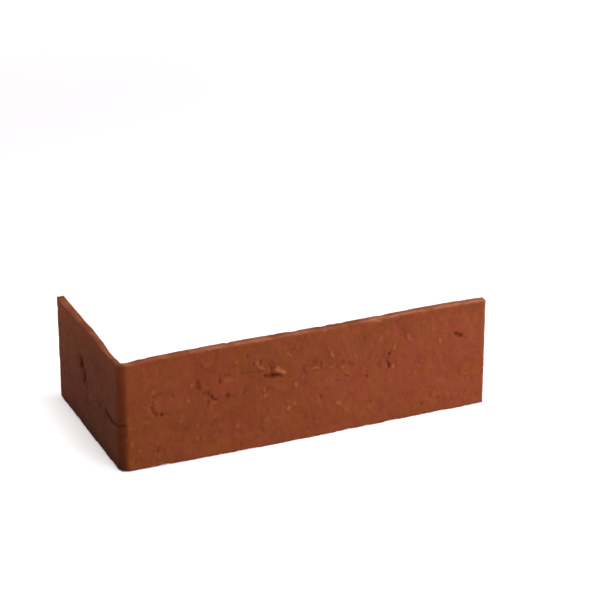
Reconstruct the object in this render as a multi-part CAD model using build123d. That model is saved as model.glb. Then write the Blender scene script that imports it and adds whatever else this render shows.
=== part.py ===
from build123d import *
import os

# Corner brick slip: one thin L-shaped facing tile, moulded and fired in one
# piece, standing on its lower long edge. Millimetres, +Z up.
# The outer corner is at low X, low Y; the long leg runs along +X and the
# short leg along +Y. The origin is the centre of the bounding box on the bed.

# ---- driving dimensions --------------------------------------------------
LENGTH = 240.0          # long leg, outside, stretcher length
WIDTH = 115.0           # short leg, outside, header width
HEIGHT = 71.6           # bed to the highest point of the wavy top edge
T_LONG = 5.5            # greatest thickness of the long leg
T_SHORT = 4.4           # thickness of the short leg
R_OUT = 6.0             # soft outer corner
R_IN = 1.0              # inner corner
R_ARRIS = 1.2           # worn arrises round the outer face

# How far the long leg's outer face lies behind its fullest line, along X.
# The face is full a little left of the middle and falls away to the corner.
FACE_BOW = [(-120.0, 1.30), (-92.0, 0.95), (-64.0, 0.45), (-36.0, 0.06),
            (-14.0, 0.005), (22.0, 0.12), (60.0, 0.35), (92.0, 0.42),
            (120.0, 0.45)]

# Height of the hand-struck top edge along each leg.
H_CORNER = 70.1
TOP_LONG = [(-102.0, 70.65), (-88.0, 71.15), (-62.0, 71.40), (-40.0, 71.35),
            (-20.0, 71.25), (-2.0, 71.05), (26.0, 71.00), (50.0, 71.15),
            (74.0, 71.58), (95.0, 71.45), (122.0, 70.75)]
TOP_SHORT = [(-39.0, 69.35), (-27.0, 69.25), (-16.0, 69.90), (-5.0, 70.75),
             (3.0, 70.65), (12.0, 70.05), (24.0, 69.50), (40.0, 69.15),
             (59.0, 69.20)]

# ---- plan section --------------------------------------------------------
X0, X1 = -LENGTH / 2, LENGTH / 2
Y0, Y1 = -WIDTH / 2, WIDTH / 2
xi, yi = X0 + T_SHORT, Y0 + T_LONG

face = [(x, Y0 + d) for x, d in FACE_BOW]
outline = [
    Spline(*face),
    Line(face[-1], (X1, yi)),
    Line((X1, yi), (xi, yi)),
    Line((xi, yi), (xi, Y1)),
    Line((xi, Y1), (X0, Y1)),
    Line((X0, Y1), face[0]),
]
plan = make_face(Wire(outline))
body = extrude(plan, amount=HEIGHT + 2.0, dir=(0, 0, 1))


def upright(solid, x, y):
    """The vertical edge of the solid nearest to (x, y)."""
    best = None
    for e in solid.edges():
        a, b = e.position_at(0), e.position_at(1)
        if abs(a.X - b.X) < 1e-6 and abs(a.Y - b.Y) < 1e-6:
            d = abs(a.X - x) + abs(a.Y - y)
            if best is None or d < best[0]:
                best = (d, e)
    return best[1]


body = fillet(upright(body, X0, face[0][1]), R_OUT)
body = fillet(upright(body, xi, yi), R_IN)

# ---- wavy top edge -------------------------------------------------------
FLAT = 9.0              # the top is level round the corner for this far
ZC = HEIGHT + 9.0


def cutter(plane, start, level, pts, end, depth):
    """Solid above a gently waving line, level at its start."""
    p0 = (start - 5.0, level)
    p1 = (start + FLAT, level)
    wave = Spline(p1, *pts, tangents=[(1, 0), (1, -0.01)])
    last = pts[-1]
    lines = [Line(p0, p1), wave, Line(last, (last[0], ZC)),
             Line((last[0], ZC), (p0[0], ZC)), Line((p0[0], ZC), p0)]
    f = make_face(Wire([plane.from_local_coords(e) for e in lines]))
    return extrude(f, amount=depth, dir=end)


# long leg: drawn in the XZ plane in front of the slip, cut towards +Y
front = Plane(origin=(0, Y0 - 3.0, 0), x_dir=(1, 0, 0), z_dir=(0, -1, 0))
cut_long = cutter(front, X0, H_CORNER, TOP_LONG, (0, 1, 0), T_LONG + 3.6)
# short leg: drawn in the YZ plane left of the slip, cut towards +X
side = Plane(origin=(X0 - 3.0, 0, 0), x_dir=(0, 1, 0), z_dir=(1, 0, 0))
cut_short = cutter(side, Y0, H_CORNER, TOP_SHORT, (1, 0, 0), T_SHORT + 3.6)
body = body - cut_long - cut_short

# ---- worn arrises round the outer face -----------------------------------

def on_outer_face(p):
    bow = 1.6
    near_long = p.Y < Y0 + bow and p.X > X0 + R_OUT * 0.9
    near_short = p.X < X0 + 0.02 and p.Y > Y0 + R_OUT * 0.9
    cx, cy = X0 + R_OUT, Y0 + R_OUT
    in_corner = (p.X <= cx + 0.6 and p.Y <= cy + 2.2
                 and ((p.X - cx) ** 2 + (p.Y - cy - 1.2) ** 2) ** 0.5 > R_OUT - 1.6)
    return near_long or near_short or in_corner


def rim_edges(solid):
    out = []
    for e in solid.edges():
        pts = [e.position_at(t) for t in (0.0, 0.25, 0.5, 0.75, 1.0)]
        if not all(on_outer_face(p) for p in pts):
            continue
        z = [p.Z for p in pts]
        level = max(z) < 0.01 or min(z) > HEIGHT - 3.0
        upr = (max(z) - min(z)) > HEIGHT / 2
        if level:
            out.append(e)
        elif upr and (pts[2].X > X1 - 0.1 or pts[2].Y > Y1 - 0.1):
            out.append(e)
    return out


rim = rim_edges(body)
print("arris edges", len(rim))
body = fillet(rim, R_ARRIS)

slip = body.solid() if hasattr(body, "solid") else body
slip.label = "corner_slip"
bb = slip.bounding_box()
print("size", bb.size, "min", bb.min, "max", bb.max)
print("volume mm3", slip.volume, "valid", slip.is_valid)

os.makedirs("parts", exist_ok=True)
export_step(slip, "parts/corner_slip.step")
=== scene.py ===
import math

import bpy
import numpy as np
from mathutils import Matrix, Vector


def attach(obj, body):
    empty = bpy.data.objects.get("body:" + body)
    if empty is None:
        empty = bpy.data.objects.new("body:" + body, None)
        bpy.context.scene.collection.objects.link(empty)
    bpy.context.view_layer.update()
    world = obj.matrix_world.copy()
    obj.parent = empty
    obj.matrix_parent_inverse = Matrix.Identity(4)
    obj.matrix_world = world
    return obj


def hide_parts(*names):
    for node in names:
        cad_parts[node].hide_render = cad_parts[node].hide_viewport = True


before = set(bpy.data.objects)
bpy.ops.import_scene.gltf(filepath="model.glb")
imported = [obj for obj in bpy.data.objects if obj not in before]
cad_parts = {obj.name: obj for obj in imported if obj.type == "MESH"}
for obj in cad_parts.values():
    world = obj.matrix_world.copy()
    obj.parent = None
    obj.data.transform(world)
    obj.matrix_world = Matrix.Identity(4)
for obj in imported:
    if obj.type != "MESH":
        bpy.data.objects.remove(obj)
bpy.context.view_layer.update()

MM = 0.001

# ---------------------------------------------------------------- sizes, mm
LENGTH, WIDTH, HEIGHT = 240.0, 115.0, 71.6
T_LONG, T_SHORT = 5.5, 4.4
R_OUT, R_IN = 6.0, 1.0
X0, X1, Y0, Y1 = -LENGTH / 2, LENGTH / 2, -WIDTH / 2, WIDTH / 2
YI = Y0 + T_LONG

FACE_BOW = [(-120.0, 1.30), (-92.0, 0.95), (-64.0, 0.45), (-36.0, 0.06),
            (-14.0, 0.005), (22.0, 0.12), (60.0, 0.35), (92.0, 0.42),
            (120.0, 0.45)]
H_CORNER = 70.1
TOP_LONG = [(-120.0, H_CORNER), (-111.0, H_CORNER), (-102.0, 70.65), (-88.0, 71.15),
            (-62.0, 71.40), (-40.0, 71.35), (-20.0, 71.25), (-2.0, 71.05),
            (26.0, 71.00), (50.0, 71.15), (74.0, 71.58), (95.0, 71.45), (122.0, 70.75)]
TOP_SHORT = [(-57.5, H_CORNER), (-48.5, H_CORNER), (-39.0, 69.35), (-27.0, 69.25),
             (-16.0, 69.90), (-5.0, 70.75), (3.0, 70.65), (12.0, 70.05),
             (24.0, 69.50), (40.0, 69.15), (59.0, 69.20)]
# the back of the short leg is uneven: its thickness, along Y
THICK_SHORT = [(-57.5, 3.4), (-45.0, 3.6), (-37.0, 3.6), (-28.0, 4.0), (-19.0, 4.3), (-10.0, 4.0),
               (0.0, 4.15), (9.0, 4.2), (19.0, 4.5), (29.0, 4.9), (40.0, 5.0), (57.5, 5.0)]



def curve(points):
    """Smooth line through the points, slopes limited so it never overshoots."""
    x = np.array([p[0] for p in points], float)
    y = np.array([p[1] for p in points], float)
    h = np.diff(x)
    d = np.diff(y) / h
    m = np.zeros(len(x))
    m[0], m[-1] = d[0], d[-1]
    for i in range(1, len(x) - 1):
        if d[i - 1] * d[i] > 0:
            w1, w2 = 2 * h[i] + h[i - 1], h[i] + 2 * h[i - 1]
            m[i] = (w1 + w2) / (w1 / d[i - 1] + w2 / d[i])

    def f(q):
        q = np.clip(np.asarray(q, float), x[0], x[-1])
        k = np.clip(np.searchsorted(x, q) - 1, 0, len(h) - 1)
        t = (q - x[k]) / h[k]
        return ((1 + 2 * t) * (1 - t) ** 2 * y[k] + t * (1 - t) ** 2 * h[k] * m[k]
                + t * t * (3 - 2 * t) * y[k + 1] + t * t * (t - 1) * h[k] * m[k + 1])
    return f


face_bow = curve(FACE_BOW)
top_long = curve(TOP_LONG)
top_short = curve(TOP_SHORT)
thick_short = curve(THICK_SHORT)

# ------------------------------------------------------------------- noise


def _hash(ix, iy, iz, seed):
    h = (ix.astype(np.int64) * 374761393 + iy.astype(np.int64) * 668265263
         + iz.astype(np.int64) * 2147483647 + seed * 974634777)
    h = (h ^ (h >> 13)) * 1274126177
    h = h & 0xFFFFFFFF
    h = ((h ^ (h >> 16)) * 2246822519) & 0xFFFFFFFF
    h = h ^ (h >> 13)
    return (h & 0xFFFFFF).astype(float) / 0x7FFFFF - 1.0


def noise(p, seed=0):
    """Smooth value noise in -1..1 at points p (n, 3)."""
    i = np.floor(p)
    f = p - i
    u = f * f * f * (f * (f * 6 - 15) + 10)
    ix, iy, iz = i[:, 0], i[:, 1], i[:, 2]
    out = 0
    for dx in (0, 1):
        for dy in (0, 1):
            for dz in (0, 1):
                w = ((u[:, 0] if dx else 1 - u[:, 0]) * (u[:, 1] if dy else 1 - u[:, 1])
                     * (u[:, 2] if dz else 1 - u[:, 2]))
                out = out + w * _hash(ix + dx, iy + dy, iz + dz, seed)
    return out


def fbm(p, seed=0, octaves=4, gain=0.5):
    total, amp, norm = 0, 1.0, 0
    for o in range(octaves):
        total = total + amp * noise(p * 2.03 ** o + 17.3 * o, seed + 31 * o)
        norm += amp
        amp *= gain
    return total / norm


def smooth(t):
    t = np.clip(t, 0, 1)
    return t * t * (3 - 2 * t)


# ------------------------------------------------- the path of the outer face
cy = Y0 + float(face_bow(X0 + R_OUT)) + R_OUT
LS = Y1 - cy                                  # straight part of the short leg
LA = R_OUT * math.pi / 2                      # the corner arc
LL = X1 - (X0 + R_OUT)                        # the long leg
A = LS + LA + LL


def path(a):
    """Outer point, inner point and face coordinate at distance a from the
    short leg's free end."""
    a = np.asarray(a, float)
    P = np.zeros((len(a), 2))
    Q = np.zeros((len(a), 2))
    s = np.zeros(len(a))
    xc = X0 + float(thick_short(YI + R_IN)) + R_IN
    k = a <= LS
    t = a[k] / LS
    P[k] = np.stack([np.full(k.sum(), X0), Y1 - a[k]], 1)
    yq = Y1 + (YI + R_IN - Y1) * t
    Q[k] = np.stack([X0 + thick_short(yq), yq], 1)
    s[k] = -(P[k][:, 1] - Y0)
    k = (a > LS) & (a < LS + LA)
    f = (a[k] - LS) / LA
    g = math.pi + f * math.pi / 2
    P[k] = np.stack([X0 + R_OUT + R_OUT * np.cos(g), cy + R_OUT * np.sin(g)], 1)
    Q[k] = np.stack([xc + R_IN * np.cos(g), YI + R_IN + R_IN * np.sin(g)], 1)
    s[k] = -(cy - Y0) + (cy - Y0 + R_OUT) * f
    k = a >= LS + LA
    x = X0 + R_OUT + (a[k] - LS - LA)
    t = (a[k] - LS - LA) / LL
    P[k] = np.stack([x, Y0 + face_bow(x)], 1)
    Q[k] = np.stack([xc + (X1 - xc) * t, np.full(k.sum(), YI)], 1)
    s[k] = x - X0
    return P, Q, s


# ------------------------------------------------------------ lattice lines
R0 = 1.4                                     # nominal arris radius
RI0 = 0.5
ZONE = [math.tan(k * math.pi / 16) for k in range(5)]          # 0 .. 1
H0 = 70.5
FINE, COARSE = 0.52, 0.68                    # mesh steps in and out of the creased band


def spaced(lo, hi, fine_lo, fine_hi):
    """Lines from lo to hi, closer together between fine_lo and fine_hi."""
    q = np.linspace(lo, hi, 2000)
    t = smooth((q - fine_lo) / 6 + 0.5) * smooth((fine_hi - q) / 6 + 0.5)
    dens = t / FINE + (1 - t) / COARSE
    total = np.concatenate([[0], np.cumsum((dens[1:] + dens[:-1]) / 2 * np.diff(q))])
    return list(np.interp(np.linspace(0, total[-1], int(round(total[-1])) + 1), total, q))


n_arc = 20
a_lines = np.array([R0 * f for f in ZONE[:-1]]
                   + spaced(R0, LS, 1e3, 1e3)[:-1]
                   + list(np.linspace(LS, LS + LA, n_arc, endpoint=False))
                   + spaced(LS + LA, A - R0, LS + LA, LS + LA + 176.0)
                   + [A - R0 * f for f in ZONE[-2::-1]])
z_lines = np.array([R0 * f for f in ZONE[:-1]]
                   + spaced(R0, H0 - R0, 30.0, 62.0)
                   + [H0 - R0 * f for f in ZONE[-2::-1]])
# through the thickness, as (kind, fraction): outer zone, middle, inner zone
w_lines = ([("o", f) for f in ZONE[:-1]] + [("m", t) for t in (0.0, 0.22, 0.42, 0.62, 0.82, 1.0)]
           + [("i", f) for f in (0.42, 0.0)])
I, J, K = len(a_lines) - 1, len(z_lines) - 1, len(w_lines) - 1


def coarse(n, step, keep=()):
    c = sorted(set(list(range(0, n, step)) + [n] + list(keep)))
    return c


ci = coarse(I, 5)
cj = coarse(J, 5)
index, keys, faces = {}, [], []


def vid(i, j, k):
    key = (i, j, k)
    v = index.get(key)
    if v is None:
        v = index[key] = len(keys)
        keys.append(key)
    return v


for i in range(I):
    for j in range(J):
        faces.append((vid(i, j, 0), vid(i + 1, j, 0), vid(i + 1, j + 1, 0), vid(i, j + 1, 0)))
for i in range(I):
    for k in range(K):
        faces.append((vid(i, J, k), vid(i + 1, J, k), vid(i + 1, J, k + 1), vid(i, J, k + 1)))
        faces.append((vid(i, 0, k), vid(i, 0, k + 1), vid(i + 1, 0, k + 1), vid(i + 1, 0, k)))
for j in range(J):
    for k in range(K):
        faces.append((vid(0, j, k), vid(0, j + 1, k), vid(0, j + 1, k + 1), vid(0, j, k + 1)))
        faces.append((vid(I, j, k), vid(I, j, k + 1), vid(I, j + 1, k + 1), vid(I, j + 1, k)))
for p in range(len(ci) - 1):
    for q in range(len(cj) - 1):
        i0, i1, j0, j1 = ci[p], ci[p + 1], cj[q], cj[q + 1]
        ring = []
        ring += [(i, j0) for i in (range(i0, i1) if j0 == 0 else (i0,))]
        ring += [(i1, j) for j in (range(j0, j1) if i1 == I else (j0,))]
        ring += [(i, j1) for i in (range(i1, i0, -1) if j1 == J else (i1,))]
        ring += [(i0, j) for j in (range(j1, j0, -1) if i0 == 0 else (j1,))]
        faces.append(tuple(vid(i, j, K) for i, j in reversed(ring)))

keys = np.array(keys)
a0, z0 = a_lines[keys[:, 0]], z_lines[keys[:, 1]]
kind = np.array([w_lines[k][0] for k in range(K + 1)])[keys[:, 2]]
frac = np.array([w_lines[k][1] for k in range(K + 1)])[keys[:, 2]]

# nominal places, for noise that is the same on every side of an arris
P, Q, s = path(a0)
T = np.hypot(*(Q - P).T)
w_nom = np.where(kind == "o", R0 * frac, np.where(kind == "m", R0 + (T - R0 - RI0) * frac, T - RI0 * frac))
n3 = np.column_stack([P + (Q - P) * (w_nom / T)[:, None], z0])

# worn arris radius, wandering along every outer edge
ro = 0.75 + 0.35 * smooth(z0 / H0) + 0.35 * fbm(n3 / 11.0, 3, 3) + 0.32 * fbm(n3 / 3.4, 5, 2)
foot = np.exp(-np.abs((s - 108.0) / 52.0) ** 3)          # the lower edge is crisp in the middle
ro = ro - 0.40 * foot * np.exp(-(z0 / 4.0) ** 2)
ro = ro * (1 - 0.40 * np.exp(-(a0 / 5.0) ** 2) - 0.40 * np.exp(-((A - a0) / 5.0) ** 2))
ro = ro + 1.0 * np.exp(-((s / 9.0) ** 2)) * np.exp(-(z0 / 7.0) ** 2)
ro = np.clip(ro, 0.30, 2.4)
ri = np.clip(RI0 + 0.25 * fbm(n3 / 5.0, 7, 3), 0.25, 0.9)

H = np.where(s < 0, top_short(np.clip(P[:, 1], Y0, Y1)), top_long(P[:, 0]))
n2 = np.column_stack([n3[:, :2], np.full(len(n3), H0)])
H = (H - 0.02 - 0.22 * (fbm(n2 / 7.0, 11, 3) * 0.5 + 0.5) - 0.22 * np.clip(fbm(n2 / 2.6, 12, 2), 0, 1)
     - 0.06 * (fbm(n2 / 1.5, 13, 2) * 0.5 + 0.5))
# nicks in the top's inner and outer arrises
nick = np.random.default_rng(11)
for n in range(46):
    at, wide, deep = nick.uniform(0, A), nick.uniform(0.8, 2.8), nick.uniform(0.08, 0.50)
    if at < LS + LA + 30.0:
        deep = 0.4 * deep                     # the short leg and the corner are whole
    inner = nick.random() < 0.45
    off = T - w_nom if inner else w_nom
    H = H - deep * np.exp(-np.abs((a0 - at) / wide) ** 2.4) * np.exp(-(off / nick.uniform(0.7, 1.5)) ** 2)

w = np.where(kind == "o", ro * frac, np.where(kind == "m", ro + (T - ro - ri) * frac, T - ri * frac))
tw = smooth((w - ro) / (T - ro - ri))
R = ro * (1 - tw) + ri * tw


def stretch(v, v1, r, top):
    """Nominal lattice place v in 0..v1 moved so its end zones are r wide and
    its far end is at top."""
    return np.where(v < R0, v * r / R0,
                    np.where(v > v1 - R0, top - (v1 - v) * r / R0,
                             r + (v - R0) / (v1 - 2 * R0) * (top - 2 * r)))


a = np.where(a0 < R0, a0 * R / R0, np.where(a0 > A - R0, A - (A - a0) * R / R0,
             a0 + (R - R0) * (np.clip(1 - (a0 - R0) / 10, 0, 1) - np.clip(1 - (A - R0 - a0) / 10, 0, 1))))
z = stretch(z0, H0, R, H)

# round the box: every arris becomes an arc
qa, qz, qw = np.clip(a, R, A - R), np.clip(z, R, H - R), np.clip(w, ro, T - ri)
da, dz = (a - qa) / R, (z - qz) / R
dw = np.where(w < ro, (w - qw) / ro, (w - qw) / ri)
ln = np.sqrt(da ** 2 + dz ** 2 + dw ** 2)
ln = np.where(ln < 1e-9, 1, ln)
corner = (np.abs(da) > 1e-6).astype(int) + (np.abs(dz) > 1e-6) + (np.abs(dw) > 1e-6)
round_it = corner >= 2
a = np.where(round_it, qa + R * da / ln, a)
z = np.where(round_it, qz + R * dz / ln, z)
w = np.where(round_it, qw + np.where(dw < 0, ro, ri) * dw / ln, w)

# ------------------------------------------------ relief of the moulded face
# All in millimetres; depth counts inwards from the fullest plane of the face.
# Face coordinates: s runs from the corner along the long leg, and is negative
# on the short leg; z is the height.
P, Q, s = path(a)
BASE = 0.36
p3 = np.column_stack([P, z])
calm = smooth(0.5 + 1.5 * fbm(p3 / 21.0, 20, 3))              # 1 where the skin is smooth
depth = np.full(len(a), BASE)
on_leg = 1 - 0.52 * smooth(-s / 4.0)                          # the short leg's skin is smoother
depth += 0.17 * fbm(p3 / 34.0, 21, 3)
depth += 0.14 * fbm(p3 * np.array([1, 1, 1.4]) / 9.0, 22, 2)
depth += on_leg * (0.084 - 0.036 * calm) * fbm(p3 * np.array([1, 1, 0.75]) / 3.6, 23, 2)
depth += on_leg * (0.012 - 0.007 * calm) * fbm(p3 * np.array([1, 1, 0.8]) / 1.5, 24, 2)
# torn skin: shallow ragged plates where the clay dragged on the mould
torn = smooth((fbm(p3 * np.array([1, 1, 1.6]) / 12.0, 26, 4) - 0.16) / 0.10)
depth += 0.13 * torn + 0.07 * torn * fbm(p3 / 1.9, 27, 2)
# the relief's painted shade and painted highlight, over some darker and paler clay
relief_shade_and_stain = -0.10 * torn                         # darker in hollows, lighter on crumbs



def wander(q):
    """Sideways wander of the relief at points q, along the face and upwards."""
    return (1.0 * fbm(q / 4.2, 41, 3) + 0.30 * noise(q / 1.3, 42),
            1.0 * fbm(q / 4.2, 43, 3) + 0.30 * noise(q / 1.3, 44))


def settle(ps, pz, amount):
    """Face coordinates moved by the wander there, so that a feature lands
    where it is put."""
    ps, pz = np.atleast_1d(np.asarray(ps, float)), np.atleast_1d(np.asarray(pz, float))
    on_long, on_short = ps > R_OUT, ps < Y0 - cy
    q = np.column_stack([np.where(on_long, X0 + ps, np.where(on_short, X0, X0 + 1.8)),
                         np.where(on_long, Y0 + face_bow(X0 + ps), np.where(on_short, Y0 - ps, cy - 4.2)), pz])
    u, v = wander(q)
    return ps + amount * u, pz + amount * v


warp_s, warp_z = wander(p3)
ragged = fbm(p3 / 2.0, 45, 2)
uneven = fbm(p3 / 3.1, 46, 2)


def along(pts, bend=0.6):
    """Distance from the line, share of the way along it, and distance with a
    sign, above zero to the left of the line's own direction."""
    u, v = s + warp_s * bend, z + warp_z * bend
    best = np.full(len(s), 1e9)
    where = np.zeros(len(s))
    sign = np.ones(len(s))
    pts = np.array(pts, float)
    pts = np.column_stack(settle(pts[:, 0], pts[:, 1], bend))
    L = np.concatenate([[0], np.cumsum(np.hypot(*np.diff(pts, axis=0).T))])
    for n in range(len(pts) - 1):
        b, d = pts[n], pts[n + 1] - pts[n]
        m = d @ d
        t = np.clip(((u - b[0]) * d[0] + (v - b[1]) * d[1]) / m, 0, 1)
        ex, ez = u - b[0] - t * d[0], v - b[1] - t * d[1]
        e = np.hypot(ex, ez)
        closer = e < best
        best = np.where(closer, e, best)
        where = np.where(closer, (L[n] + t * math.sqrt(m)) / L[-1], where)
        sign = np.where(closer, np.where(d[0] * ez - d[1] * ex >= 0, 1.0, -1.0), sign)
    return best, where, best * sign


def crease(pts, width, deep, lip=0.0, dark=1.0, broken=0.5, bend=0.6):
    """A ragged crease that thins out at its ends, with a raised lip on the
    left of its direction if asked."""
    global depth, relief_shade_and_stain
    e, t, side = along(pts, bend)
    taper = smooth(np.minimum(t, 1 - t) * 6 + 0.2)
    gate = 1 - broken * smooth(0.5 + 2.2 * ragged)
    wide = width * (1 + 0.35 * uneven)
    g = np.exp(-np.abs(e / wide) ** 1.7) * taper * gate
    depth = depth + deep * g
    # painted shade along the crease, with some darker clay; a painted highlight where dark is below zero
    relief_shade_and_stain = relief_shade_and_stain - 0.88 * dark * np.exp(-np.abs(e / (1.38 * wide)) ** 1.6) * taper * gate
    if lip:
        up = np.exp(-np.clip(side - 0.8 * width, 0, None) / (1.6 * width)) * smooth(side / width - 0.3)
        depth = depth - lip * up * taper * (0.5 + 0.5 * gate)


def shelf(pts, high, fall, under, dark=1.0, light=0.4, broken=0.3):
    """The edge of a folded skin: it stands proud on the left of the line's
    direction, sinks back over fall mm, and is undercut on the right."""
    global depth, relief_shade_and_stain
    e, t, side = along(pts, 0.5)
    taper = smooth(np.minimum(t, 1 - t) * 5 + 0.1)
    gate = 1 - broken * smooth(0.5 + 2.2 * ragged)
    up = np.exp(-np.clip(side, 0, None) / fall) * smooth(side / 0.7 + 0.7) * taper * gate
    depth = depth - high * up
    g = np.exp(-((side + 0.75) / 0.72) ** 2) * taper * gate
    depth = depth + under * g
    # painted shade in the hollow beside the edge, painted highlight on the proud skin
    relief_shade_and_stain = relief_shade_and_stain - dark * g + light * up * smooth(1.3 - side / 1.3)


def pit(ps, pz, rs, rz, deep, turn=0.0, dark=1.0):
    """A torn-out grain: steep walls, uneven outline."""
    global depth, relief_shade_and_stain
    c, n = math.cos(turn), math.sin(turn)
    (ps,), (pz,) = settle(ps, pz, 0.5)
    ds, dz_ = s + warp_s * 0.5 - ps, z + warp_z * 0.5 - pz
    r = np.hypot((ds * c + dz_ * n) / rs, (-ds * n + dz_ * c) / rz) + 0.22 * ragged
    depth = depth + deep * smooth((1.45 - r) / 0.9)
    # painted shade, with some darker clay: the pit is darkened
    relief_shade_and_stain = relief_shade_and_stain - 0.88 * dark * smooth((1.80 - r) / 1.4)


def lump(ps, pz, rs, rz, high, turn=0.0, light=0.5):
    global depth, relief_shade_and_stain
    c, n = math.cos(turn), math.sin(turn)
    (ps,), (pz,) = settle(ps, pz, 0.35)
    ds, dz_ = s + warp_s * 0.35 - ps, z + warp_z * 0.35 - pz
    r = np.hypot((ds * c + dz_ * n) / rs, (-ds * n + dz_ * c) / rz) + 0.15 * ragged
    g = smooth((1.5 - r) / 1.3)
    depth = depth - high * g
    # lighter: partly paler clay, partly a painted highlight
    relief_shade_and_stain = relief_shade_and_stain + light * g


EL = 120.0                                   # face x + EL = s on the long leg
YS = 57.5                                    # -(y + YS) = s on the short leg


def long_pts(*pts):
    return [(EL + x, h) for x, h in pts]


def short_pts(*pts):
    return [(-(y + YS), h) for y, h in pts]


def ridge(pts, width, high, light=0.6, bend=0.3):
    """A thin raised fold of skin."""
    # its crest is lightened as a painted highlight
    crease(pts, width, -high, 0.0, -light, 0.0, bend)


# the folded flake a little left of the middle: a tongue lightened as a painted highlight, above a deep step with no
# true overhang, darkened as painted shade
pit(EL - 20.4, 51.6, 2.0, 1.2, -0.14, -0.6, -0.25)
crease(long_pts((-29.6, 47.3), (-26.8, 46.5), (-24.2, 46.2), (-21.0, 46.2)), 1.05, 0.70, 0.0, 1.50, 0.0, 0.2)
crease(long_pts((-24.8, 46.1), (-21.8, 46.0), (-19.2, 45.7), (-16.7, 44.8)), 1.40, 0.95, 0.0, 1.25, 0.0, 0.2)
pit(EL - 19.4, 45.9, 1.5, 0.8, 0.45, -0.2, 0.40)
ridge(long_pts((-21.8, 50.7), (-20.2, 49.3), (-18.4, 48.2), (-15.3, 46.4)), 1.15, 0.42, 2.40, 0.2)
lump(EL - 15.6, 46.9, 1.35, 0.82, 0.24, -0.6, 1.40)
crease(long_pts((-24.5, 52.8), (-23.8, 50.6), (-23.5, 49.0)), 0.80, 0.35, 0.0, 0.95, 0.0, 0.3)
pit(EL - 25.3, 54.1, 0.6, 0.9, 0.20, 0.2, 0.6)
lump(EL - 26.0, 50.8, 0.8, 1.6, 0.14, 0.0, 0.45)
lump(EL - 30.6, 52.8, 3.0, 1.05, 0.30, -0.50, 0.95)
pit(EL - 32.1, 50.4, 2.9, 1.0, 0.16, -0.15, 0.70)
pit(EL - 30.8, 56.5, 0.85, 2.0, 0.34, 0.0, 0.95)
lump(EL - 33.4, 56.3, 1.15, 1.7, 0.26, 0.35, 0.90)
crease(long_pts((-35.7, 57.3), (-35.7, 55.6), (-34.7, 54.2)), 0.65, 0.22, 0.0, 0.48, 0.0, 0.3)
pit(EL - 35.2, 59.0, 0.7, 0.8, 0.14, 0.0, 0.50)
pit(EL - 39.4, 61.6, 0.7, 1.8, 0.16, 0.0, 0.60)
lump(EL - 46.4, 59.6, 1.4, 1.8, 0.16, 0.0, 0.72)
crease(long_pts((-54.6, 52.4), (-51.8, 51.8), (-49.2, 51.8)), 0.90, 0.14, 0.0, 0.85, 0.1, 0.3)
crease(long_pts((-48.6, 52.7), (-43.0, 51.9), (-38.5, 51.0), (-34.6, 50.4)), 1.00, 0.14, 0.0, 0.74, 0.2, 0.3)
lump(EL - 50.2, 54.1, 1.5, 1.1, 0.10, 0.0, 0.55)
lump(EL - 51.3, 48.4, 2.9, 1.5, 0.12, 0.0, 0.68)
# curled plate near the corner, its outline broken
crease(long_pts((-99.6, 41.0), (-99.5, 38.8), (-98.9, 36.7), (-97.5, 34.7), (-95.6, 33.7)), 1.00, 0.34, 0.08, 0.95, 0.0, 0.3)
pit(EL - 96.2, 34.1, 2.1, 1.1, 0.10, -0.3, 0.10)
pit(EL - 93.8, 33.9, 1.05, 0.90, 0.45, 0.0, 1.60)
crease(long_pts((-93.0, 33.7), (-90.8, 33.3), (-88.2, 32.8)), 0.60, 0.14, 0.0, 0.55, 0.0, 0.3)
pit(EL - 99.0, 42.7, 0.65, 0.8, 0.18, 0.0, 0.42)
lump(EL - 97.1, 42.5, 1.05, 1.05, 0.18, 0.0, 0.62)
lump(EL - 97.9, 49.5, 1.6, 1.1, 0.10, 0.0, 0.58)
crease(long_pts((-99.4, 44.6), (-98.4, 46.0), (-96.8, 46.6), (-95.2, 47.2), (-92.3, 47.6)), 1.15, 0.22, 0.06, 0.88, 0.15, 0.3)
crease(long_pts((-90.8, 47.4), (-87.7, 46.0), (-85.2, 43.8)), 1.20, 0.18, 0.06, 0.60, 0.2, 0.3)
lump(EL - 90.3, 41.3, 4.6, 3.0, 0.12, 0.0, 0.30)
lump(EL - 77.0, 39.7, 1.3, 1.8, 0.18, 0.0, 0.82)
lump(EL - 74.6, 49.1, 1.1, 1.8, 0.18, 0.0, 1.02)
# hollows and pits between it and the flake
crease(long_pts((-71.3, 52.4), (-70.1, 48.0), (-69.2, 44.6)), 1.40, 0.26, 0.0, 1.02, 0.0, 0.3)
crease(long_pts((-68.6, 43.8), (-65.8, 42.2), (-62.8, 40.8)), 1.50, 0.26, 0.0, 0.95, 0.0, 0.3)
crease(long_pts((-62.2, 41.2), (-62.0, 38.5), (-60.6, 37.7), (-58.6, 37.8)), 0.85, 0.50, 0.0, 1.15, 0.0, 0.2)
pit(EL - 58.8, 38.0, 0.9, 0.7, 0.14, 0.0, 0.40)
lump(EL - 62.3, 36.7, 0.5, 0.5, 0.10, 0.0, 0.85)
lump(EL - 60.9, 35.1, 1.9, 1.0, 0.10, 0.0, 0.65)
pit(EL - 64.4, 36.4, 0.9, 2.0, 0.16, 0.0, 0.65)
pit(EL - 56.6, 49.0, 1.25, 1.9, 0.24, 0.0, 0.85)
pit(EL - 52.1, 38.5, 1.40, 1.35, 0.36, 0.0, 1.25)
pit(EL - 51.9, 36.4, 0.9, 1.4, 0.14, 0.0, 0.50)
pit(EL - 88.4, 57.2, 0.8, 1.5, 0.10, 0.0, 0.55)
pit(EL - 68.4, 60.7, 0.8, 1.9, 0.10, 0.0, 0.55)
pit(EL - 41.2, 40.6, 1.2, 3.4, 0.12, -0.08, 0.62)
pit(EL - 26.6, 37.8, 0.8, 1.3, 0.14, 0.0, 0.70)
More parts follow.
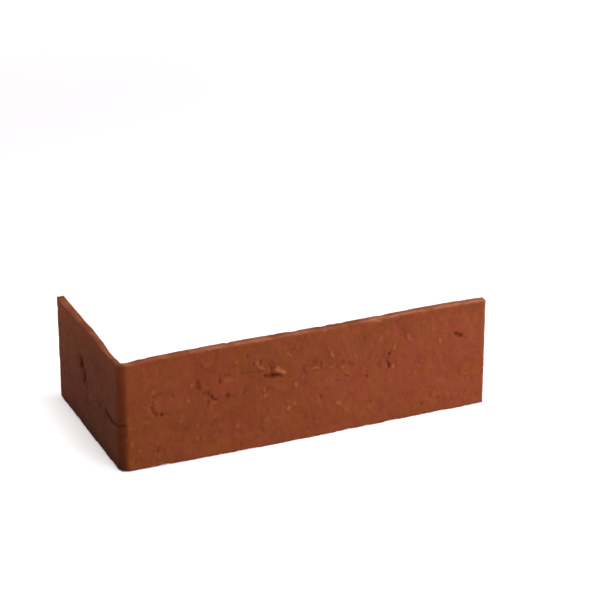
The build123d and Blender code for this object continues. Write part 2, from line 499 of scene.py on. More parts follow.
crease(long_pts((-105.6, 30.7), (-103.0, 30.6), (-100.4, 30.2)), 0.60, -0.10, 0.0, -0.95, 0.0, 0.3)
# right of the flake: worm-like folds, arcs, and the hole with its crumb
ridge(long_pts((-14.1, 59.9), (-12.4, 58.3), (-10.7, 56.6)), 0.75, 0.18, 1.10)
crease(long_pts((-3.0, 49.4), (-3.1, 46.5), (-2.6, 43.6)), 0.80, 0.20, 0.0, 0.50, 0.0, 0.3)
pit(EL + 4.0, 50.2, 2.0, 1.6, 0.16, 0.0, 0.62)
lump(EL + 4.3, 46.1, 2.9, 1.0, 0.22, 0.0, 1.15)
pit(EL + 5.6, 43.9, 1.9, 0.6, 0.10, 0.0, 0.50)
pit(EL + 8.3, 47.3, 0.9, 2.3, 0.16, 0.0, 0.62)
lump(EL + 15.8, 52.9, 1.25, 3.1, 0.24, 0.30, 0.90)
lump(EL + 13.8, 57.1, 0.8, 1.0, 0.10, 0.0, 0.60)
crease(long_pts((20.4, 47.4), (22.8, 46.9), (25.0, 45.8)), 1.05, 0.16, 0.0, 0.48, 0.0, 0.3)
crease(long_pts((25.4, 45.3), (28.0, 44.7), (30.4, 44.0)), 1.40, 0.18, 0.0, 0.74, 0.0, 0.3)
lump(EL + 22.5, 43.3, 1.5, 1.2, 0.14, 0.0, 0.75)
pit(EL + 38.4, 36.0, 1.6, 2.3, 0.12, 0.0, 0.45)
pit(EL + 38.7, 33.9, 1.8, 1.1, 0.18, 0.0, 0.88)
pit(EL + 47.4, 40.2, 1.9, 2.9, 0.18, 0.0, 0.65)
pit(EL + 51.8, 41.4, 1.5, 0.8, 0.14, 0.0, 0.60)
lump(EL + 49.8, 38.4, 1.1, 2.1, 0.14, 0.0, 0.48)
pit(EL + 53.9, 38.6, 0.95, 1.65, 0.80, 0.0, 1.00)
crease(long_pts((53.4, 37.4), (52.4, 36.4), (50.6, 35.8)), 0.85, 0.18, 0.0, 0.65, 0.0, 0.3)
lump(EL + 56.5, 37.1, 1.25, 1.35, 0.22, 0.0, 1.00)
pit(EL + 58.3, 37.9, 0.7, 0.7, 0.12, 0.0, 0.55)
pit(EL + 54.1, 45.7, 0.95, 1.4, 0.36, 0.0, 1.50)
lump(EL + 57.4, 50.7, 0.85, 2.1, 0.18, 0.0, 0.80)
crease(long_pts((98.2, 52.4), (100.0, 50.8), (101.6, 49.9), (104.2, 49.1)), 1.15, 0.60, 0.0, 1.45, 0.0, 0.3)
pit(EL + 106.2, 47.5, 2.3, 0.9, 0.10, -0.3, 0.45)
lump(EL + 66.8, 55.4, 1.05, 2.9, 0.16, 0.25, 0.92)
ridge(long_pts((82.0, 57.9), (86.0, 57.3), (90.0, 55.4), (93.9, 52.4)), 0.95, 0.10, 0.36)
ridge(long_pts((104.4, 22.9), (110.2, 21.9)), 0.50, 0.14, 0.70)
# lesser pale crumbs and the small hollows beside them
for px, pz, hx, hz, hi, turn, tone in (
        (-65.0, 60.9, 2.9, 2.1, .10, 0, .52), (-83.0, 27.3, 2.2, .7, .08, 0, .45), (-72.0, 22.3, 1.1, 1.8, .14, 0, .62),
        (-72.1, 14.0, 1.0, 2.0, .14, 0, .60), (-97.5, 15.7, 2.3, 1.3, .14, -.5, .58), (-95.9, 6.7, 1.3, 2.1, .14, 0, .62),
        (-108.5, 13.3, 1.1, 1.1, .10, 0, .48), (-112.5, 17.4, .7, 3.2, .10, 0, .45), (-96.5, 65.1, .8, 2.1, .10, 0, .48),
        (-28.8, 38.2, .9, 2.0, .14, 0, .65), (-27.4, 33.9, 1.9, 1.4, .14, 0, .78), (-35.2, 33.1, 1.4, .7, .08, 0, .45),
        (-46.2, 17.4, 1.1, 2.1, .20, 0, 1.05), (-47.3, 12.1, .9, 2.0, .12, 0, .75), (-60.5, 26.4, 1.4, 1.3, .12, 0, .62),
        (-27.5, 17.7, 1.9, 1.2, .12, 0, .56), (-22.6, 20.3, 1.8, 2.7, .08, 0, .40), (-27.9, 7.9, 1.4, 2.1, .10, 0, .46),
        (-8.5, 37.5, 1.4, 2.0, .22, .2, .92), (-9.2, 24.8, 1.9, 1.5, .18, 0, .82), (-12.8, 21.7, 1.3, 2.1, .18, 0, .82),
        (-.3, 46.0, 1.0, 2.0, .10, 0, .50), (7.6, 43.0, .6, .6, .08, 0, .55), (10.3, 46.6, .7, 2.1, .10, 0, .46),
        (5.7, 26.1, 1.0, 1.8, .10, 0, .50), (1.4, 26.0, 1.5, .7, .10, 0, .52), (10.4, 25.2, .7, 1.8, .08, 0, .45),
        (5.8, 9.5, 1.0, 1.8, .12, 0, .58), (.4, 15.0, 1.5, 2.1, .08, 0, .40), (-17.4, 16.6, 1.5, 2.1, .08, 0, .40),
        (26.2, 47.9, 2.6, .9, .10, 0, .50), (31.5, 48.9, 1.0, 1.8, .14, .3, .50), (14.9, 44.8, 1.9, 1.1, .22, 0, 1.05),
        (25.6, 38.7, 1.8, 1.0, .08, 0, .46), (25.6, 34.7, 2.0, 1.0, .08, 0, .44), (45.8, 55.9, .8, 1.8, .10, 0, .50),
        (19.7, 19.6, 2.3, 1.9, .16, 0, .68), (24.8, 14.5, 1.0, 1.8, .14, 0, .60), (43.4, 15.2, .8, 2.1, .08, 0, .42),
        (55.4, 26.5, .7, 3.2, .08, 0, .40), (55.4, 47.0, .6, .6, .08, 0, .50), (88.8, 47.9, 1.1, 1.9, .16, 0, 1.00),
        (88.7, 63.4, 1.9, 2.2, .10, 0, .44), (71.8, 30.1, 1.2, 1.5, .14, .3, .62), (79.9, 20.3, 1.4, .7, .08, 0, .46),
        (84.8, 12.9, .9, 1.9, .12, 0, .58), (78.9, 45.0, 1.7, .7, .08, 0, .42), (94.5, 29.2, .8, 1.7, .12, .4, .52)):
    lump(EL + px, pz, hx, hz, hi, turn, tone)
for px, pz, hx, hz, lo, turn, tone in (
        (-103.8, 28.1, 1.4, .6, .08, 0, .42), (-100.9, 31.9, .9, .6, .12, 0, .50), (-85.0, 31.8, 2.2, .6, .08, 0, .42),
        (-69.7, 22.2, .7, 1.6, .10, 0, .48), (-69.9, 13.6, .6, 1.6, .10, 0, .42), (-96.7, 12.9, 1.8, .8, .12, 0, .52),
        (-96.7, 10.6, 1.0, .8, .08, 0, .38), (-76.1, 35.3, .6, 2.4, .08, 0, .42), (-94.4, 64.1, .6, 1.2, .08, 0, .42),
        (-23.4, 37.1, 1.8, 1.2, .08, 0, .38), (-27.4, 31.5, 1.2, .7, .08, 0, .44), (-35.5, 34.9, 1.0, .6, .08, 0, .42),
        (-61.5, 24.8, 1.2, .6, .08, 0, .44), (-27.8, 20.0, 1.3, .5, .08, 0, .38), (-27.5, 15.5, 1.3, .5, .08, 0, .38),
        (-10.0, 36.0, .7, .7, .16, 0, .70), (-8.8, 54.9, 1.0, 1.0, .10, 0, .52), (-16.0, 51.3, .5, .8, .08, 0, .48),
        (8.4, 25.9, .9, 1.9, .14, 0, .64), (1.7, 27.6, 1.3, .5, .08, 0, .40), (4.4, 24.6, 1.2, .6, .08, 0, .40),
        (19.5, 44.9, 1.0, 2.0, .08, 0, .40), (29.5, 50.0, 1.0, .7, .10, 0, .44), (31.5, 51.4, .6, .5, .10, 0, .44),
        (25.3, 37.0, 1.6, .9, .14, 0, .62), (19.6, 34.9, 2.0, 1.0, .14, 0, .68), (12.3, 30.2, 2.1, 1.7, .12, 0, .62),
        (45.4, 14.8, .6, 1.6, .08, 0, .40), (79.9, 18.4, 1.2, .6, .08, 0, .40), (79.0, 43.0, 1.5, .5, .08, 0, .40)):
    pit(EL + px, pz, hx, hz, lo, turn, tone)
# the corner, and the crease that runs round it
crease([(-8.4, 29.8), (-5.4, 29.6), (-2.6, 30.0), (0.2, 30.5), (2.6, 30.5), (4.4, 30.1)], 0.95, 0.36, 0.08, 1.15, 0.0, 0.2)
lump(4.8, 34.2, 1.6, 1.7, 0.14, 0.0, 0.55)
lump(6.8, 28.2, 1.3, 1.7, 0.14, 0.0, 0.55)
pit(EL - 112.4, 26.6, 1.0, 0.8, 0.14, 0.0, 0.60)
pit(EL - 116.8, 24.0, 1.2, 1.2, 0.12, 0.0, 0.55)
# short leg: a broad upright groove in two steps, and a long low crease, all darkened with painted shade
crease(short_pts((15.5, 48.9), (10.5, 48.8), (5.0, 48.2)), 1.60, 0.12, 0.0, 0.55, 0.0, 0.3)
crease(short_pts((11.4, 47.4), (12.6, 45.2), (13.8, 42.2), (14.0, 39.2)), 5.00, 1.00, 0.0, 1.45, 0.38, 1.8)
crease(short_pts((14.2, 47.4), (13.4, 44.6), (14.4, 41.6), (13.8, 39.0)), 0.95, 0.85, 0.0, 0.85, 0.30, 1.0)
crease(short_pts((8.4, 40.2), (7.1, 37.3), (7.6, 33.6), (8.6, 29.8)), 3.10, 0.80, 0.0, 1.22, 0.38, 1.5)
crease(short_pts((7.2, 40.4), (7.0, 37.2), (7.8, 33.4), (8.9, 30.0)), 0.90, 0.80, 0.0, 0.80, 0.30, 1.0)
lump(-(18.9 + YS), 45.2, 1.3, 1.0, 0.20, 0.3, 0.45)
lump(-(2.6 + YS), 34.6, 1.0, 1.3, 0.16, 0.0, 0.40)
lump(-(-2.8 + YS), 27.0, 3.2, 1.6, 0.14, 0.0, 0.95)
pit(-(-20.6 + YS), 29.6, 3.4, 2.0, 0.20, 0.0, 0.85)
crease(short_pts((-29.4, 31.4), (-32.0, 29.9), (-36.0, 28.9), (-41.5, 28.8)), 1.15, 1.10, 0.16, 2.00, 0.0, 0.7)
crease(short_pts((-39.0, 28.6), (-43.0, 28.9), (-47.0, 29.4), (-51.0, 30.0)), 0.95, 0.70, 0.10, 1.60, 0.0, 0.5)
for py, pz in ((42.0, 20.0), (30.0, 55.0), (-8.0, 50.0), (-28.0, 14.0), (12.0, 12.0), (-35.0, 58.0), (24.0, 33.0)):
    lump(-(py + YS), pz, 1.6, 1.6, 0.12, 0.1, 0.5)
    pit(-(py + YS) - 2.0, pz - 1.2, 1.4, 0.9, 0.12, 0.1, 0.5)

# scattered grit: small pits and crumbs over the whole moulded face, the pits darkened as painted shade and the crumbs
# lightened, partly as painted highlight
rng = np.random.default_rng(7)
outer = np.flatnonzero(w < 2.4)
cell = 3.0
grid = {}
for n in outer:
    grid.setdefault((int(math.floor(s[n] / cell)), int(math.floor(z[n] / cell))), []).append(n)
grid = {key: np.array(m) for key, m in grid.items()}


def nearby(ps, pz, reach=1):
    gi, gj = int(math.floor(ps / cell)), int(math.floor(pz / cell))
    m = [grid[gi + di, gj + dj] for di in range(-reach, reach + 1) for dj in range(-reach, reach + 1)
         if (gi + di, gj + dj) in grid]
    return np.concatenate(m) if m else None


for n in range(760):
    ps, pz = rng.uniform(-WIDTH, LENGTH), rng.uniform(0.5, 70.5)
    r = 0.75 + 1.05 * rng.random() ** 2
    r2 = r * rng.uniform(0.9, 2.2)
    down = rng.random() < 0.5
    amount = rng.uniform(0.03, 0.11) * (1.0 if down else -0.9)
    tone = rng.uniform(0.12, 0.40)
    turn = rng.normal(0.1, 0.35)
    m = nearby(ps, pz)
    if m is None:
        continue
    c, sn = math.cos(turn), math.sin(turn)
    ds, dzz = s[m] - ps + 0.4 * warp_s[m], z[m] - pz + 0.4 * warp_z[m]
    g = smooth((1.5 - np.hypot((ds * c + dzz * sn) / r, (-ds * sn + dzz * c) / r2)) / 1.2)
    quiet = 0.55 + 0.45 * (1 - calm[m])
    depth[m] += amount * g * quiet
    relief_shade_and_stain[m] -= g * (tone if down else -tone)
# short drag marks, darker where sunk and lighter where raised: painted shade and painted highlight
for n in range(70):
    ps, pz = rng.uniform(-WIDTH, LENGTH), rng.uniform(1.0, 70.0)
    half, turn = rng.uniform(1.2, 4.0), rng.normal(0.15, 0.5)
    wide, amount = rng.uniform(0.45, 0.8), rng.uniform(0.04, 0.10) * (1 if rng.random() < 0.6 else -0.7)
    m = nearby(ps, pz, 2)
    if m is None:
        continue
    c, sn = math.cos(turn), math.sin(turn)
    ds, dzz = s[m] - ps + 0.7 * warp_s[m], z[m] - pz + 0.7 * warp_z[m]
    u, v = ds * c + dzz * sn, -ds * sn + dzz * c
    g = np.exp(-(v / wide) ** 2) * smooth((half - np.abs(u)) / 1.2)
    depth[m] += amount * g
    relief_shade_and_stain[m] -= g * 2.2 * amount

depth = depth - 0.25 * np.exp(-np.abs((s - 108.0) / 52.0) ** 3) * np.exp(-(z / 9.0) ** 2)
depth = np.clip(depth, 0.02, None)
# chips out of the long leg's upper arris
for ps, pw, dp in ((43.0, 3.0, 0.35), (47.5, 4.2, 0.75), (78.0, 2.8, 0.80), (82.0, 1.6, 0.4), (-29.5, 2.2, 0.3),
                   (-78.0, 1.8, 0.3), (-66.0, 1.4, 0.3), (12.0, 1.8, 0.25), (26.0, 1.4, 0.3), (101.0, 2.0, 0.3),
                   (-52.0, 2.6, 0.35), (60.5, 1.5, 0.35), (-12.0, 1.6, 0.3), (-96.0, 2.4, 0.3)):
    g = np.exp(-np.abs((s - EL - ps) / pw) ** 2.4) * np.exp(-(np.clip(H - z, 0, None) / 1.9) ** 2)
    depth = depth + dp * g
    relief_shade_and_stain = relief_shade_and_stain + 0.5 * g

for ps, pz, hx, hz, turn, tone in ((46.6, 69.5, 3.0, 0.75, -0.42, 1.20), (79.0, 70.5, 2.2, 0.70, 0.0, 1.20), (75.4, 69.9, 0.9, 0.9, 0.0, -0.90),
                                   (42.2, 69.7, 1.0, 0.9, 0.0, -0.60), (-28.5, 70.0, 2.4, 0.6, 0.0, 0.60), (101.0, 70.0, 1.4, 0.6, 0.0, 0.50)):
    c, sn = math.cos(turn), math.sin(turn)
    ds, dzz = s - EL - ps, z - pz
    g = smooth((1.5 - np.hypot((ds * c + dzz * sn) / hx, (-ds * sn + dzz * c) / hz) - 0.2 * ragged) / 1.1)
    relief_shade_and_stain = relief_shade_and_stain + tone * g
# darker patches along the bed: painted shade where the worn arris lifts off the floor, with some dark clay
for ps, half, tone in ((-115.0, 3.0, 0.9), (-104.0, 1.2, 0.7), (-90.0, 2.2, 0.9), (-50.5, 6.0, 0.55), (-30.0, 1.6, 0.7),
                       (8.5, 3.2, 1.0), (34.0, 2.0, 0.7), (49.5, 2.6, 1.2), (61.0, 1.2, 0.8), (80.0, 2.2, 1.0),
                       (86.0, 1.0, 0.7), (102.0, 2.4, 1.1), (-70.0, 1.6, 0.5), (-12.0, 1.8, 0.5), (112.0, 1.2, 0.6)):
    relief_shade_and_stain = relief_shade_and_stain - tone * np.exp(-((s - EL - ps) / half) ** 2) * np.exp(-(np.clip(z - 0.9 * (0.5 + ragged), 0, None) / 1.1) ** 2)

relief_shade_and_stain = relief_shade_and_stain * smooth((3.0 - w) / 1.6)
w = w + depth * np.clip(1 - w / T, 0, 1) ** 1.5
# free ends: cut, and a little out of true
end_in = 0.08 + 0.10 * fbm(p3 / 9.0, 51, 3) + 0.12 * fbm(p3 / 2.4, 53, 2) + 0.04 * noise(p3 / 1.1, 54)
end_in = np.clip(end_in, 0.0, None)
a = a + end_in * np.clip(1 - a / 6, 0, 1) ** 2 - end_in * np.clip(1 - (A - a) / 6, 0, 1) ** 2
# lower arris of the outer face: worn away here and there
foot = np.exp(-np.abs((s - 108.0) / 52.0) ** 3)
low = (np.clip(0.30 - 0.30 * foot + 0.95 * fbm(p3 / 7.0, 61, 3), 0, None) + 0.75 * np.clip(fbm(p3 / 3.0, 63, 2), 0, 1)
       + 0.25 * np.clip(noise(p3 / 1.5, 64), 0, 1))
z = z + low * np.clip(1 - z / 4, 0, 1) ** 2 * np.clip(1 - w / 3.0, 0, 1)

P, Q, s = path(np.clip(a, 0, A))
T = np.hypot(*(Q - P).T)
xy = P + (Q - P) * (w / T)[:, None]
co = np.column_stack([xy, z]) * MM

# ------------------------------------------------------------------- mesh
mesh = bpy.data.meshes.new("corner_slip_body")
mesh.from_pydata(co.tolist(), [], faces)
mesh.validate()
mesh.update()
slip = bpy.data.objects.new("corner_slip_body", mesh)
bpy.context.scene.collection.objects.link(slip)
for poly in mesh.polygons:
    poly.use_smooth = True

# arris mask: 1 on the arrises; relief mask: below 0 in creases, above 0 on crumbs, colour that is painted shade and
# painted highlight over some darker and paler clay
arris = np.where(round_it & (dw < 0.2), 1.0, 0.0)
edge_d = np.minimum.reduce([H - z, z + 1.1, a, A - a])
wear_and_highlight = np.clip(np.exp(-(np.clip(edge_d, 0, None) / 0.9) ** 1.4), 0, 1) * np.exp(-(np.clip(w - 1.0, 0, None) / 1.2) ** 2)
# the free end's upper arris made paler: partly dust, partly a painted highlight where it catches the light
wear_and_highlight = np.maximum(wear_and_highlight, 1.5 * np.exp(-((A - a) / 1.5) ** 2) * smooth((z - 30) / 24) * np.exp(-(np.clip(w - 1.0, 0, None) / 1.2) ** 2))
back = smooth((w / T - 0.86) / 0.10)
# the top's paler colour: dust, and partly a painted highlight
rim = np.exp(-(np.clip(H - z - 0.25, 0, None) / 0.55) ** 1.6)
y_leg = Y0 - s
# painted shade on the short leg's outer face: darker all over and below its top, more towards its bed and in its upper
# part near the corner, most along the bed, less towards the free end
painted_shade = 0.14 + 0.10 * smooth((66 - z) / 12) + 0.19 * smooth((58 - z) / 44) * (1 - 0.35 * smooth((y_leg - 28) / 24))
painted_shade = painted_shade + 0.09 * smooth((z - 30) / 26) * smooth((26 - y_leg) / 42) + 0.22 * np.exp(-(z / 7.0) ** 2)
painted_shade = 1 - painted_shade * smooth(1 - s / 7) * smooth(1.6 - w / 2.5)
for name, values in (("wear_and_highlight", wear_and_highlight), ("shade_and_stain", np.clip(relief_shade_and_stain, -2, 2)), ("rim", rim), ("painted_shade", painted_shade), ("back", back)):
    att = mesh.attributes.new(name, "FLOAT", "POINT")
    att.data.foreach_set("value", values.astype(np.float32))

# ---------------------------------------------------------------- material
mat = bpy.data.materials.new("fired_clay")
mat.use_nodes = True
nt = mat.node_tree
nt.nodes.clear()


def node(kind_, **values):
    n = nt.nodes.new(kind_)
    for key, v in values.items():
        if key.startswith("in_"):
            n.inputs[key[3:].replace("_", " ")].default_value = v
        else:
            setattr(n, key, v)
    return n


def link(a_, b_):
    nt.links.new(a_, b_)


def mix(kind_, fac, c1, c2):
    n = node("ShaderNodeMix", data_type="RGBA", blend_type=kind_, clamp_factor=True)
    for sock, v in ((n.inputs[0], fac), (n.inputs[6], c1), (n.inputs[7], c2)):
        if isinstance(v, (int, float)):
            sock.default_value = v
        elif isinstance(v, tuple):
            sock.default_value = (*v, 1.0)
        else:
            link(v, sock)
    return n.outputs[2]


def ramp(value, lo, hi):
    n = node("ShaderNodeMapRange", clamp=True, interpolation_type="SMOOTHSTEP")
    link(value, n.inputs[0])
    n.inputs[1].default_value, n.inputs[2].default_value = lo, hi
    return n.outputs[0]


def math_node(op, x, y=None):
    n = node("ShaderNodeMath", operation=op)
    for sock, v in ((n.inputs[0], x), (n.inputs[1], y)):
        if v is None:
            continue
        if isinstance(v, (int, float)):
            sock.default_value = v
        else:
            link(v, sock)
    return n.outputs[0]


coord = node("ShaderNodeTexCoord").outputs["Object"]


def tex(scale, detail=4.0, rough=0.55, distort=0.0, stretch_=None):
    n = node("ShaderNodeTexNoise")
    n.inputs["Scale"].default_value = scale
    n.inputs["Detail"].default_value = detail
    n.inputs["Roughness"].default_value = rough
    n.inputs["Distortion"].default_value = distort
    if stretch_:
        m = node("ShaderNodeMapping")
        m.inputs["Scale"].default_value = stretch_
        link(coord, m.inputs["Vector"])
        link(m.outputs[0], n.inputs["Vector"])
    else:
        link(coord, n.inputs["Vector"])
    return n.outputs[0]


shade_and_stain = node("ShaderNodeAttribute", attribute_name="shade_and_stain").outputs["Fac"]
wear_and_highlight_fac = node("ShaderNodeAttribute", attribute_name="wear_and_highlight").outputs["Fac"]
rim_ = node("ShaderNodeAttribute", attribute_name="rim").outputs["Fac"]
back_ = node("ShaderNodeAttribute", attribute_name="back").outputs["Fac"]
painted_shade_fac = node("ShaderNodeAttribute", attribute_name="painted_shade").outputs["Fac"]

big = tex(14.0, 3.0, 0.5)
mid = tex(60.0, 3.0, 0.55, 0.4)
tint = tex(105.0, 2.0, 0.5, 0.3)
soft = tex(230.0, 1.0, 0.5, 0.2, (1.0, 1.0, 0.72))
fine = tex(420.0, 2.0, 0.5)
col = mix("MIX", ramp(big, 0.40, 0.62), (0.142, 0.0317, 0.0087), (0.157, 0.0319, 0.0102))
col = mix("MIX", math_node("MULTIPLY", ramp(mid, 0.50, 0.72), 0.48), col, (0.115, 0.0249, 0.0068))
col = mix("MIX", math_node("MULTIPLY", ramp(mid, 0.50, 0.28), 0.38), col, (0.180, 0.0408, 0.0136))
# patches of browner and redder clay, then soft cloudy grain
col = mix("MULTIPLY", 1.0, col, mix("MIX", ramp(tint, 0.38, 0.62), (0.990, 1.045, 0.850), (1.012, 0.965, 1.150)))
col = mix("MULTIPLY", 1.0, col, mix("MIX", ramp(soft, 0.30, 0.70), (0.958, 0.954, 0.945), (1.038, 1.046, 1.062)))
col = mix("MIX", math_node("MULTIPLY", ramp(fine, 0.56, 0.74), 0.045), col, (0.203, 0.0557, 0.0229))
col = mix("MIX", math_node("MULTIPLY", ramp(fine, 0.44, 0.28), 0.045), col, (0.093, 0.0186, 0.0059))
# buff and dark sand grains pressed into the skin
grain = node("ShaderNodeTexVoronoi", feature="F1")
grain.inputs["Scale"].default_value = 430.0
link(coord, grain.inputs["Vector"])
pick = node("ShaderNodeSeparateColor")
link(grain.outputs["Color"], pick.inputs[0])
spot = ramp(grain.outputs["Distance"], 0.42, 0.16)
pale = math_node("MULTIPLY", math_node("MULTIPLY", spot, ramp(pick.outputs[0], 0.86, 0.90)), 0.08)
soot = math_node("MULTIPLY", math_node("MULTIPLY", spot, ramp(pick.outputs[1], 0.90, 0.93)), 0.08)
col = mix("MIX", pale, col, (0.274, 0.1067, 0.0527))
col = mix("MIX", soot, col, (0.049, 0.0121, 0.0055))
# hollows are darker and crumbs lighter: painted shade and painted highlight that follow the relief, over some darker
# and paler clay; arrises pale with dust, the free end's arris partly a painted highlight
col = mix("MIX", math_node("MULTIPLY", ramp(math_node("MULTIPLY", shade_and_stain, -1.0), 0.08, 1.35), 0.74), col, (0.053, 0.0065, 0.0015))
col = mix("MIX", math_node("MULTIPLY", ramp(shade_and_stain, 0.10, 1.05), 0.52), col, (0.248, 0.0733, 0.0323))
col = mix("MIX", math_node("MULTIPLY", ramp(shade_and_stain, 1.15, 1.90), 0.30), col, (0.320, 0.0990, 0.0480))
col = mix("MIX", math_node("MULTIPLY", math_node("MULTIPLY", wear_and_highlight_fac, ramp(mid, 0.25, 0.55)), 0.50), col, (0.213, 0.0622, 0.0281))
# the struck top is paler and dustier, and partly a painted highlight where it faces the light
col = mix("MIX", math_node("MULTIPLY", rim_, 0.75), col, mix("MIX", ramp(mid, 0.40, 0.62), (0.168, 0.0443, 0.0182), (0.262, 0.0847, 0.0437)))
# the back: cut by a wire, so it has drag lines along the slip and open pores
drag = tex(30.0, 3.0, 0.6, 0.0, (1.0, 1.0, 26.0))
pores = math_node("MULTIPLY", math_node("MULTIPLY", ramp(grain.outputs["Distance"], 0.36, 0.20), ramp(pick.outputs[2], 0.85, 0.90)), back_)
col = mix("MIX", math_node("MULTIPLY", math_node("MULTIPLY", ramp(drag, 0.52, 0.74), back_), 0.30), col, (0.194, 0.0520, 0.0204))
col = mix("MIX", math_node("MULTIPLY", math_node("MULTIPLY", ramp(drag, 0.48, 0.28), back_), 0.30), col, (0.099, 0.0200, 0.0059))
col = mix("MIX", math_node("MULTIPLY", pores, 0.48), col, (0.057, 0.0102, 0.0034))
# painted shade: the colour darkened on the short leg
dim = node("ShaderNodeVectorMath", operation="SCALE")
link(col, dim.inputs[0])
link(painted_shade_fac, dim.inputs["Scale"])
col = dim.outputs[0]

bsdf = node("ShaderNodeBsdfPrincipled")
bsdf.inputs["Roughness"].default_value = 0.82
bsdf.inputs["Specular IOR Level"].default_value = 0.045
link(col, bsdf.inputs["Base Color"])
rough = node("ShaderNodeMapRange", clamp=True)
link(fine, rough.inputs[0])
rough.inputs[1].default_value, rough.inputs[2].default_value = 0.3, 0.7
rough.inputs[3].default_value, rough.inputs[4].default_value = 0.72, 0.92
link(rough.outputs[0], bsdf.inputs["Roughness"])
bump1 = node("ShaderNodeBump")
bump1.inputs["Strength"].default_value = 0.10
bump1.inputs["Distance"].default_value = 0.0004
link(tex(900.0, 4.0, 0.62), bump1.inputs["Height"])
bump2 = node("ShaderNodeBump")
bump2.inputs["Strength"].default_value = 0.16
bump2.inputs["Distance"].default_value = 0.0008
link(tex(260.0, 2.0, 0.5, 0.3), bump2.inputs["Height"])
link(bump1.outputs[0], bump2.inputs["Normal"])
bump3 = node("ShaderNodeBump")
bump3.inputs["Strength"].default_value = 0.75
bump3.inputs["Distance"].default_value = 0.0006
link(math_node("SUBTRACT", math_node("MULTIPLY", drag, back_), math_node("MULTIPLY", pores, 0.6)), bump3.inputs["Height"])
link(bump2.outputs[0], bump3.inputs["Normal"])
link(bump3.outputs[0], bsdf.inputs["Normal"])
out = node("ShaderNodeOutputMaterial")
link(bsdf.outputs[0], out.inputs[0])
mesh.materials.append(mat)

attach(slip, "root")
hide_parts("corner_slip")

# --------------------------------------------------------- floor, light, camera
fm = bpy.data.meshes.new("floor")
fm.from_pydata([(-4, -4, 0), (4, -4, 0), (4, 4, 0), (-4, 4, 0)], [], [(0, 1, 2, 3)])
floor = bpy.data.objects.new("floor", fm)
bpy.context.scene.collection.objects.link(floor)
fmat = bpy.data.materials.new("floor_pale")
fmat.use_nodes = True
fb = fmat.node_tree.nodes["Principled BSDF"]
fb.inputs["Base Color"].default_value = (0.66, 0.66, 0.66, 1)
# the floor's glow is painted light: it lifts the slip's cast shadow, and its pink tint is a painted reflection of the
# clay's red
fb.inputs["Emission Color"].default_value = (1.0, 0.88, 0.895, 1)
# brighter away from the slip, where the lights fall off
ft = fmat.node_tree
where_ = ft.nodes.new("ShaderNodeTexCoord")
reach = ft.nodes.new("ShaderNodeVectorMath")
reach.operation = "LENGTH"
ft.links.new(where_.outputs["Object"], reach.inputs[0])
glow = ft.nodes.new("ShaderNodeMapRange")
glow.interpolation_type = "SMOOTHSTEP"
glow.inputs[1].default_value, glow.inputs[2].default_value = 0.50, 1.70
glow.inputs[3].default_value, glow.inputs[4].default_value = 0.26, 1.30
ft.links.new(reach.outputs["Value"], glow.inputs[0])
ft.links.new(glow.outputs[0], fb.inputs["Emission Strength"])
fb.inputs["Roughness"].default_value = 1.0
fb.inputs["Specular IOR Level"].default_value = 0.0
fm.materials.append(fmat)

# a white surround, seen only by the camera, so that it lights nothing
sides, rows, far = 32, 6, 3.9
ring = [(far * math.cos(math.pi / 2 * r / rows), far * math.sin(math.pi / 2 * r / rows)) for r in range(rows)]
dv = [(c * math.cos(2 * math.pi * n / sides), c * math.sin(2 * math.pi * n / sides), h)
      for c, h in ring for n in range(sides)] + [(0, 0, far)]
df = [(r * sides + n, r * sides + (n + 1) % sides, (r + 1) * sides + (n + 1) % sides, (r + 1) * sides + n)
      for r in range(rows - 1) for n in range(sides)]
df += [((rows - 1) * sides + n, (rows - 1) * sides + (n + 1) % sides, rows * sides) for n in range(sides)]
dm = bpy.data.meshes.new("backdrop")
dm.from_pydata(dv, [], df)
backdrop = bpy.data.objects.new("backdrop", dm)
bpy.context.scene.collection.objects.link(backdrop)
dmat = bpy.data.materials.new("backdrop_white")
dmat.use_nodes = True
db = dmat.node_tree.nodes["Principled BSDF"]
db.inputs["Base Color"].default_value = (0.0, 0.0, 0.0, 1)
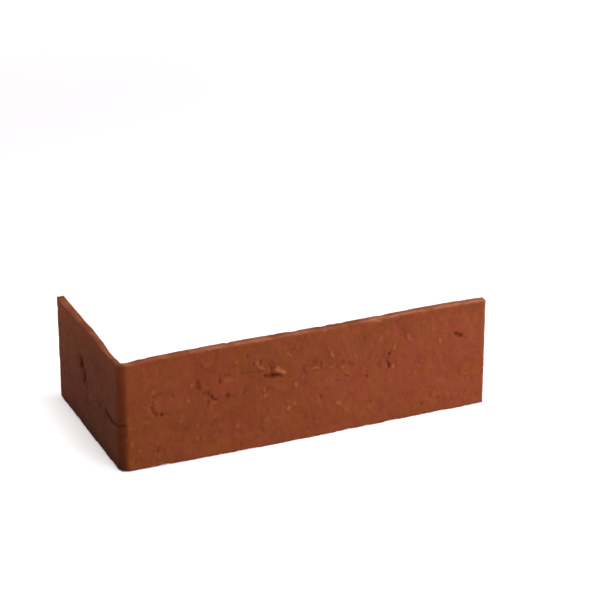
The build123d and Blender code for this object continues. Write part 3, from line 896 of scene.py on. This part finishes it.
db.inputs["Roughness"].default_value = 1.0
db.inputs["Specular IOR Level"].default_value = 0.0
db.inputs["Emission Color"].default_value = (1.0, 1.0, 1.0, 1)
db.inputs["Emission Strength"].default_value = 1.0
dm.materials.append(dmat)
backdrop.visible_diffuse = backdrop.visible_glossy = backdrop.visible_transmission = False
backdrop.visible_volume_scatter = backdrop.visible_shadow = False


def area(name, loc, size, power, size_y=None, color=(1.0, 1.0, 1.0)):
    """A soft light, square or oblong, turned to the slip."""
    d = bpy.data.lights.new(name, "AREA")
    d.color = color
    d.shape = "RECTANGLE"
    d.size, d.size_y = size, size_y or size
    d.energy = power
    o = bpy.data.objects.new(name, d)
    bpy.context.scene.collection.objects.link(o)
    o.location = loc
    o.rotation_mode = "QUATERNION"
    o.rotation_quaternion = (-Vector(loc)).to_track_quat("-Z", "Y")
    o.visible_camera = False
    return o


area("softbox_front", (0.0, -1.27, 2.72), 1.6, 87.5)
area("softbox_top", (0.0, 0.25, 2.95), 1.6, 26.0)
area("panel_right", (0.90, -0.33, 0.17), 0.50, 18.0, 0.29, (0.96, 1.05, 1.25))
area("panel_left", (-0.30, 0.25, 0.18), 0.12, 0.40)

world = bpy.data.worlds.new("studio")
bpy.context.scene.world = world
world.use_nodes = True
bg = world.node_tree.nodes["Background"]
bg.inputs[0].default_value = (1.0, 1.0, 1.0, 1)
bg.inputs[1].default_value = 0.06

cam = bpy.data.cameras.new("camera")
cam.sensor_width = 36.0
cam.lens = 138.03
cam.clip_start, cam.clip_end = 0.05, 20.0
cam_o = bpy.data.objects.new("camera", cam)
bpy.context.scene.collection.objects.link(cam_o)
eye = Vector((-504.16, -1199.24, 638.01)) * MM
look = Vector((0.36673206, 0.83945786, -0.40102133)).normalized()
cam_o.location = eye
cam_o.rotation_mode = "QUATERNION"
cam_o.rotation_quaternion = look.to_track_quat("-Z", "Y")
bpy.context.scene.camera = cam_o
bpy.context.scene.view_settings.view_transform = "Standard"

print("triangles", sum(len(p.vertices) - 2 for p in mesh.polygons))
